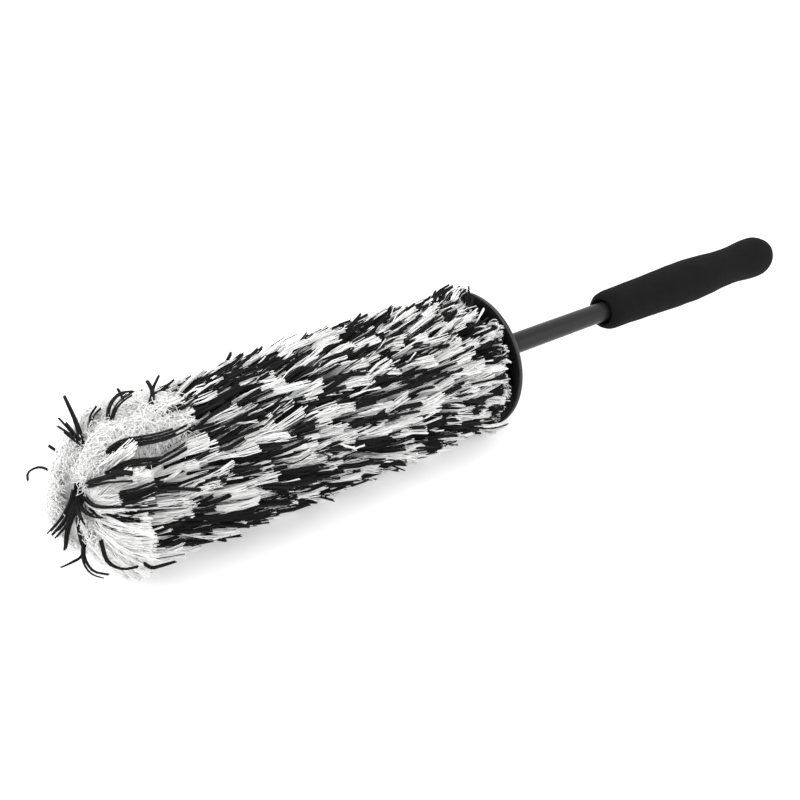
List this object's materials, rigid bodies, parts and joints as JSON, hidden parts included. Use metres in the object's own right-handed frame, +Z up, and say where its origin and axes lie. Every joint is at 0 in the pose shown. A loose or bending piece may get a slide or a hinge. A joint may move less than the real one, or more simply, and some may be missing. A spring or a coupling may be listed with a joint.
{
  "type": "wheel brush",
  "caption": "Long shaggy microfibre wheel brush: a pull-on pile cover over a foam core, a dished guard, a straight shaft and a foam grip.",
  "frame": {"origin": "centre of the brush's bounding box, on the surface that it lies on", "axes": "+X along the shaft from the head to the grip, +Z up from the surface that the brush lies on"},
  "size_m": [0.4814, 0.073, 0.0717],
  "materials": {
    "shaft": "satin",
    "grip_foam": "matte",
    "guard": "satin",
    "black_plastic": "satin",
    "steel": "satin",
    "nylon": "satin",
    "core_foam": "matte",
    "backing": "matte",
    "hem_tape": "matte",
    "elastic": "matte",
    "thread": "satin",
    "white_microfibre": "matte",
    "black_microfibre": "matte"
  },
  "bodies": {
    "handle": {"shaft_tube": "shaft", "tube_end_plug": "black_plastic", "grip_sleeve": "grip_foam", "guard_disc": "guard", "guard_collar": "guard", "guard_hub": "black_plastic", "cross_pin": "steel", "core_rod": "nylon", "foam_former": "core_foam", "former_washer": "steel", "nose_cap": "guard", "nose_screw": "steel"},
    "cover": {"cover_backing": "backing", "hem_binding": "hem_tape", "hem_elastic": "elastic", "hem_stitching": "thread", "end_seam": "hem_tape", "seam_stitching": "thread", "white_pile": "white_microfibre", "black_pile": "black_microfibre"}
  },
  "joints": [
    {"name": "cover_pull", "type": "slide", "parent": "handle", "child": "cover", "axis": [-1, 0, 0], "range_m": [0, 0.215]}
  ]
}
